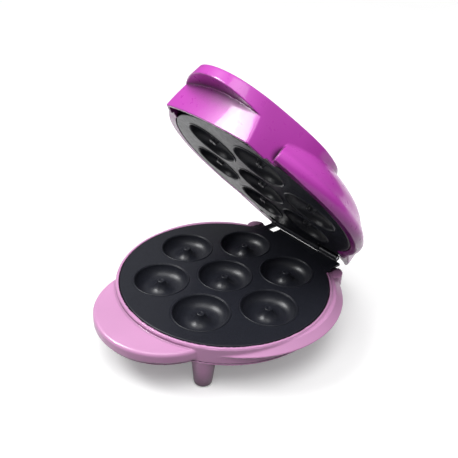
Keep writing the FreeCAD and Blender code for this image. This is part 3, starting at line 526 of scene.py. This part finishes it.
def lathe_rings(profile, x, y, count):
    """Rings of points for a profile turned about a vertical axis; the first point is a pole."""
    angles = np.linspace(0, 2 * math.pi, count, endpoint=False)
    rings = [[(x, y, profile[0][1])]]
    for radius, height in profile[1:]:
        rings.append([(x + radius * math.cos(a), y + radius * math.sin(a), height) for a in angles])
    return rings


class Builder:
    """Collects points and faces, then welds them into one mesh."""

    def __init__(self):
        self.points, self.faces = [], []

    def ring(self, points):
        start = len(self.points)
        self.points.extend(points)
        return list(range(start, len(self.points)))

    def band(self, inner, outer, flip=False):
        count = len(outer)
        for k in range(count):
            after = (k + 1) % count
            if len(inner) == 1:
                face = [inner[0], outer[k], outer[after]]
            else:
                face = [inner[k], outer[k], outer[after], inner[after]]
            self.faces.append(face[::-1] if flip else face)

    def lathe(self, profile, x, y, count, flip=False):
        rings = [self.ring(points) for points in lathe_rings(profile, x, y, count)]
        for inner, outer in zip(rings, rings[1:]):
            self.band(inner, outer, flip)
        return rings[-1]

    def sheet(self, border, holes, flip=False):
        """Flat faces between an outer loop and round holes, all existing points."""
        loops = [border] + holes
        order = [index for loop in loops for index in loop]
        flat = [Vector(self.points[index][:2]) for index in order]
        edges, start = [], 0
        for loop in loops:
            edges += [(start + k, start + (k + 1) % len(loop)) for k in range(len(loop))]
            start += len(loop)
        _, _, triangles, originals, _, _ = delaunay_2d_cdt(flat, edges, [], 1, 1e-5)
        for triangle in triangles:
            face = [order[originals[corner][0]] for corner in triangle]
            middle = sum((Vector(self.points[index][:2]) for index in face), Vector((0, 0))) / 3
            if all((middle - Vector(well)).length > PATCH_RAD for well in WELLS):
                self.faces.append(face[::-1] if flip else face)


def plate_outline(radius, tab):
    """The round plate with its hinge tab, as a loop anticlockwise from above."""
    corners = np.array(tab + [(-x, y) for x, y in reversed(tab)]).reshape(-1, 2)
    extra = np.arctan2(corners[:, 1], corners[:, 0]) % (2 * math.pi)
    clear = math.radians(0.9)
    even = [a for a in np.radians(np.arange(0, 360, 1.25)) if all(np.abs(extra - a) > clear)]
    loop = []
    for angle in sorted(even + list(extra)):
        way = np.array((math.cos(angle), math.sin(angle)))
        reach = radius
        for a, b in zip(corners, corners[1:]):
            edge = b - a
            cross = way[0] * edge[1] - way[1] * edge[0]
            if abs(cross) > 1e-9:
                along = (a[0] * edge[1] - a[1] * edge[0]) / cross
                share = (a[0] * way[1] - a[1] * way[0]) / cross
                if -1e-9 <= share <= 1 + 1e-9 and along > 0:
                    reach = max(reach, along)
        loop.append(way * reach)
    return np.array(loop)


def inset(loop, distance):
    """The loop drawn in by a distance along its normals."""
    along = np.roll(loop, -1, axis=0) - np.roll(loop, 1, axis=0)
    normals = np.stack((-along[:, 1], along[:, 0]), axis=1) / np.linalg.norm(along, axis=1)[:, None]
    return loop + normals * distance


def plate_mesh(name, radius, tab):
    """The casting face up, with heights from its own face."""
    builder = Builder()
    outline = plate_outline(radius, tab)
    around, under = ((108, 48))
    edge = [(1.4, 0.0), (0.8, 0.0), (0.42, -0.1), (0.13, -0.36), (0.0, -0.8)]
    edge += [(drawn, -PLATE_THICK - height) for drawn, height in reversed(edge)]
    loops = []
    for drawn, height in edge:
        loops.append(builder.ring([(x, y, height) for x, y in inset(outline, drawn)]))
    for inner, outer in zip(loops, loops[1:]):
        builder.band(inner, outer)
    tops = [builder.lathe(well_profile(), x, y, around) for x, y in WELLS]
    builder.sheet(loops[0], tops)
    bottoms = [builder.lathe(bulge_profile(), x, y, under, flip=True) for x, y in WELLS]
    builder.sheet(loops[-1], bottoms, flip=True)
    return builder


def baking_plate(name, node, radius, tab, body, up):
    """One plate, face up on the base or face down in the lid."""
    builder = plate_mesh(name, radius, tab)
    points = np.array(builder.points)
    points[:, 2] -= FACE_GAP
    faces = builder.faces
    if not up:
        points[:, 2] *= -1
        faces = [face[::-1] for face in faces]
    mesh = new_mesh(name, seated(points, body == "lid"), faces)
    add_piece(name, mesh, body, "nonstick", [node])
    mesh.set_sharp_from_angle(angle=math.radians(40))


baking_plate("lower_plate_casting", "lower_plate", plate_rad, [], "base", True)
upper_rad = (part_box("upper_plate")[1].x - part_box("upper_plate")[0].x) / 2 / MM
baking_plate("upper_plate_casting", "upper_plate", upper_rad, [(74, 58), (57, 90), (52, 95)], "lid", False)


def lugs(spans, low, high, ledges):
    """Hinge barrels with the webs that carry them, and flat ledges behind the disc."""
    def field(x, y, z):
        pin = np.hypot(y - hinge_y, z - HINGE_RISE)
        whole = np.inf
        for outline, top in ledges:
            beyond = meet(outline(x, y), PLATE_BODY_RAD - np.hypot(x, y))
            ledge = meet(beyond, span(z, low, top), 0.15)
            whole = np.minimum(whole, ledge)
        for start, end in spans:
            along = span(x, start, end)
            barrel = meet(pin - BARREL_RAD, along, 0.6)
            web = meet(meet(span(y, 88, hinge_y), span(z, low, high)), along, 0.6)
            whole = np.minimum(whole, join(barrel, web, 1.2))
        return take(whole, pin - PIN_RAD, 0.3)
    return field


BACK, SKIN = -FACE_GAP - PLATE_THICK, 0.05
lower_tab = Outline(curve_points([(-54, 60), (54, 60), (54, 90), (52, 92), (52, 106), (45, 106),
                                  (45, 105.45), (-32, 105.45), (-32, 95), (-49, 95), (-54, 90)]), step=0.3)
lower_sill = Outline(curve_points([(-32, 100), (23, 100), (23, 108.6), (-32, 108.6)]), step=0.3)
upper_tab = Outline(curve_points([(-52, 84), (-47, 84), (-47, 108.5), (-52, 108.5)]), step=0.3)
lower_ledges = [(lower_tab, -FACE_GAP - 0.35), (lower_sill, BACK + 0.6)]
moulding("lower_knuckles", lugs(LOW_BARRELS, BACK + SKIN, -FACE_GAP - SKIN, lower_ledges),
         (-56, 58, -6), (56, 114, 6), 0.55, "base", "nonstick")
moulding("upper_knuckle", lugs(HIGH_BARREL, FACE_GAP + SKIN, -BACK - SKIN, [(upper_tab, -BACK - SKIN)]),
         (-54, 82, -5), (25, 114, 6), 0.5, "lid", "nonstick")


# ---------------------------------------------------------------- materials

class Shader:
    """A Principled material with helpers for its procedural inputs."""

    def __init__(self, name, **sockets):
        self.material = bpy.data.materials.new(name)
        self.material.use_nodes = True
        self.tree = self.material.node_tree
        self.principled = self.tree.nodes["Principled BSDF"]
        for socket, value in sockets.items():
            self.principled.inputs[socket.replace("_", " ")].default_value = value
        self.place = self.tree.nodes.new("ShaderNodeTexCoord").outputs["Object"]

    def node(self, kind, inputs=(), **settings):
        made = self.tree.nodes.new("ShaderNode" + kind)
        for key, value in settings.items():
            setattr(made, key, value)
        for key, value in dict(inputs).items():
            if isinstance(value, bpy.types.NodeSocket):
                self.tree.links.new(value, made.inputs[key])
            else:
                made.inputs[key].default_value = value
        return made

    def noise(self, scale, detail=3.0, roughness=0.55):
        inputs = {"Vector": self.place, "Scale": scale, "Detail": detail, "Roughness": roughness}
        return self.node("TexNoise", inputs).outputs["Fac"]

    def ramp(self, factor, stops):
        made = self.node("ValToRGB", {"Fac": factor})
        elements = made.color_ramp.elements
        while len(elements) < len(stops):
            elements.new(0.5)
        for element, (position, color) in zip(elements, stops):
            element.position = position
            element.color = color if hasattr(color, "__len__") else (color, color, color, 1)
        return made.outputs["Color"]

    def feed(self, socket, output):
        self.tree.links.new(output, self.principled.inputs[socket])
        return self

    def bump(self, height, strength, distance):
        made = self.node("Bump", {"Height": height, "Strength": strength, "Distance": distance})
        return self.feed("Normal", made.outputs["Normal"])


def linear(r, g, b):
    """An sRGB colour out of 255 as linear RGBA."""
    def channel(value):
        value /= 255
        return value / 12.92 if value <= 0.04045 else ((value + 0.055) / 1.055) ** 2.4
    return channel(r), channel(g), channel(b), 1.0


def tinted(color, factor):
    return tuple(min(1.0, c * factor) for c in color[:3]) + (1.0,)


def plastic(name, color, roughness, coat):
    """Moulded plastic: even colour, with painted shade that darkens it in creases and recesses from an
    ambient occlusion factor, and a fine moulded grain.
    """
    shader = Shader(name, IOR=1.5, Specular_IOR_Level=0.3, Coat_Weight=coat, Coat_Roughness=0.06)
    drift = shader.ramp(shader.noise(14, 2), [(0.3, tinted(color, 0.94)), (0.7, tinted(color, 1.05))])
    # Painted shade: the base colour is multiplied down where ambient occlusion finds creases and recesses,
    # such as under the visor.
    painted_shade_occlusion = shader.node("AmbientOcclusion", {"Distance": 0.03}, samples=8).outputs["AO"]
    shade = shader.ramp(painted_shade_occlusion, [(0.42, 0.05), (0.86, 1.0)])
    both = shader.node("VectorMath", {0: drift, 1: shade}, operation="MULTIPLY").outputs["Vector"]
    shader.feed("Base Color", both)
    gloss = shader.ramp(shader.noise(160, 4), [(0.3, roughness - 0.04), (0.7, roughness + 0.05)])
    shader.feed("Roughness", gloss)
    return shader.bump(shader.noise(2200, 2), 0.02, 0.0001).material


def nonstick():
    """Dark coating sprayed on cast aluminium: fine orange peel and a faint pale speckle."""
    shader = Shader("nonstick_coating", Specular_IOR_Level=0.22, Coat_Weight=0.05, Coat_Roughness=0.3)
    speckle = shader.noise(1900, 3, 0.7)
    tone = shader.ramp(speckle, [(0.42, linear(30, 31, 38)), (0.62, linear(46, 48, 57)),
                                 (0.74, linear(74, 76, 84))])
    shader.feed("Base Color", tone)
    shader.feed("Roughness", shader.ramp(shader.noise(260, 4), [(0.3, 0.3), (0.7, 0.44)]))
    return shader.bump(shader.noise(900, 4), 0.12, 0.0003).material


def metal(name, color, roughness, stretch=(1, 1, 1)):
    """Drawn or rolled metal with fine lines along one way."""
    shader = Shader(name, Metallic=1.0)
    mapped = shader.node("Mapping", {"Vector": shader.place, "Scale": stretch}).outputs["Vector"]
    lines = shader.node("TexNoise", {"Vector": mapped, "Scale": 420, "Detail": 4}).outputs["Fac"]
    shader.feed("Base Color", shader.ramp(lines, [(0.3, tinted(color, 0.8)), (0.7, tinted(color, 1.1))]))
    shader.feed("Roughness", shader.ramp(lines, [(0.3, roughness - 0.06), (0.7, roughness + 0.08)]))
    return shader.bump(lines, 0.15, 0.0001).material


def matt(name, color, roughness, grain=1200, strength=0.2):
    """Ceramic, rubber, phenolic or glass-fibre sleeve."""
    shader = Shader(name)
    grains = shader.noise(grain, 4, 0.65)
    shader.feed("Base Color", shader.ramp(grains, [(0.3, tinted(color, 0.8)), (0.7, tinted(color, 1.15))]))
    shader.feed("Roughness", shader.ramp(grains, [(0.3, roughness - 0.05), (0.7, roughness + 0.06)]))
    return shader.bump(grains, strength, 0.0002).material


def lens(name, color):
    """Clear tinted plastic with faint mould swirls."""
    shader = Shader(name, Transmission_Weight=0.6, IOR=1.49, Coat_Weight=0.3)
    swirl = shader.noise(90, 2)
    shader.feed("Base Color", shader.ramp(swirl, [(0.3, tinted(color, 0.85)), (0.7, tinted(color, 1.1))]))
    shader.feed("Roughness", shader.ramp(swirl, [(0.3, 0.06), (0.7, 0.12)]))
    return shader.material


MATERIALS = {
    "base_pink": plastic("pink_plastic", linear(225, 162, 210), 0.36, 0.3),
    "lid_magenta": plastic("magenta_plastic", linear(216, 74, 204), 0.3, 0.45),
    "nonstick": nonstick(),
    "heater_steel": metal("heater_sheath", linear(150, 146, 140), 0.38),
    "reflector_sheet": metal("aluminium_sheet", linear(200, 202, 204), 0.3, (1, 12, 1)),
    "zinc_screw": metal("zinc_plate", linear(190, 192, 196), 0.28),
    "ceramic": matt("glazed_ceramic", linear(232, 226, 214), 0.4, 700, 0.1),
    "phenolic": matt("phenolic_moulding", linear(46, 38, 34), 0.5),
    "rubber_foot": matt("rubber", linear(34, 33, 36), 0.75, 1500, 0.3),
    "lens_red": lens("red_lens", linear(196, 24, 20)),
    "lens_green": lens("green_lens", linear(30, 170, 60)),
    "lamp_glass": lens("lamp_glass", linear(240, 236, 226)),
    "wire_sleeve": matt("woven_sleeve", linear(224, 218, 200), 0.8, 1800, 0.5),
}
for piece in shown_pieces():
    slot = piece.get("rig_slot")
    if slot:
        piece.data.materials.clear()
        piece.data.materials.append(MATERIALS[slot])
    elif "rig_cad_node" in piece:
        for place in piece.material_slots:
            key = place.material.name.split(".")[0]
            place.material = MATERIALS[key]


# ---------------------------------------------------------------- floor, light and camera

def plane(name, half, height):
    mesh = new_mesh(name, [(-half, -half, height), (half, -half, height), (half, half, height),
                           (-half, half, height)], [(0, 1, 2, 3)])
    thing = bpy.data.objects.new(name, mesh)
    bpy.context.scene.collection.objects.link(thing)
    return thing


floor = plane("floor", 6.0, 0.0)
floor.visible_diffuse = False
floor_shader = Shader("pale_floor", Roughness=0.55)
floor_tone = floor_shader.ramp(floor_shader.noise(3), [(0.3, 0.9), (0.7, 0.93)])
floor_shader.feed("Base Color", floor_tone)
floor_shader.principled.inputs["Emission Color"].default_value = (1, 1, 1, 1)
floor_shader.principled.inputs["Emission Strength"].default_value = 0.22
floor.data.materials.append(floor_shader.material)


def direction(azimuth, elevation):
    """From the object towards a viewer or lamp; azimuth 0 is the front, 90 the right."""
    a, e = math.radians(azimuth), math.radians(elevation)
    return Vector((math.sin(a) * math.cos(e), -math.cos(a) * math.cos(e), math.sin(e)))


def softbox(name, azimuth, elevation, distance, size, power):
    data = bpy.data.lights.new(name, "AREA")
    data.shape, data.size, data.size_y, data.energy = "RECTANGLE", size[0], size[1], power
    lamp = bpy.data.objects.new(name, data)
    bpy.context.scene.collection.objects.link(lamp)
    back = direction(azimuth, elevation)
    aim = back.to_track_quat("Z", "Y").to_matrix().to_4x4()
    lamp.matrix_world = Matrix.Translation(TARGET + back * distance) @ aim
    return lamp


AZIMUTH, ELEVATION, ROLL = 48.0, 30.2, math.radians(3.37)
TARGET = Vector((0.0025, 0.0029, 0.1011))
DISTANCE = 0.5094
camera_data = bpy.data.cameras.new("camera")
camera_data.lens = 44.6
camera_data.sensor_width = 36
camera_data.shift_x, camera_data.shift_y = -0.0035, -0.0037
camera = bpy.data.objects.new("camera", camera_data)
bpy.context.scene.collection.objects.link(camera)
back = direction(AZIMUTH, ELEVATION)
right = Vector((0, 0, 1)).cross(back).normalized()
up = back.cross(right)
rolled = right * math.cos(ROLL) + up * math.sin(ROLL)
lifted = up * math.cos(ROLL) - right * math.sin(ROLL)
turn = Matrix((rolled, lifted, back)).transposed().to_4x4()
camera.matrix_world = Matrix.Translation(TARGET + back * DISTANCE) @ turn
bpy.context.scene.camera = camera

softbox("key", -38, 48, 1.3, (0.42, 0.42), 6.0)
softbox("window", -40, 48, 1.4, (0.6, 0.66), 26.0).visible_diffuse = False
sun_data = bpy.data.lights.new("overhead", "SUN")
sun_data.energy, sun_data.angle = 1.35, math.radians(35)
sun = bpy.data.objects.new("overhead", sun_data)
bpy.context.scene.collection.objects.link(sun)
sun.matrix_world = direction(40, 72).to_track_quat("Z", "Y").to_matrix().to_4x4()
world = bpy.data.worlds.new("studio")
bpy.context.scene.world = world
world.use_nodes = True
sky = world.node_tree
rise = sky.nodes.new("ShaderNodeSeparateXYZ")
sky.links.new(sky.nodes.new("ShaderNodeTexCoord").outputs["Generated"], rise.inputs["Vector"])
glow = sky.nodes.new("ShaderNodeValToRGB")
glow.color_ramp.elements.new(0.45)
for element, (height, shade) in zip(glow.color_ramp.elements, ((0.0, 0.03), (0.4, 0.22), (1.0, 0.85))):
    element.position, element.color = height, (shade, shade, shade, 1)
sky.links.new(rise.outputs["Z"], glow.inputs["Fac"])
sky.links.new(glow.outputs["Color"], sky.nodes["Background"].inputs["Color"])
bpy.context.scene.view_settings.view_transform = "Standard"
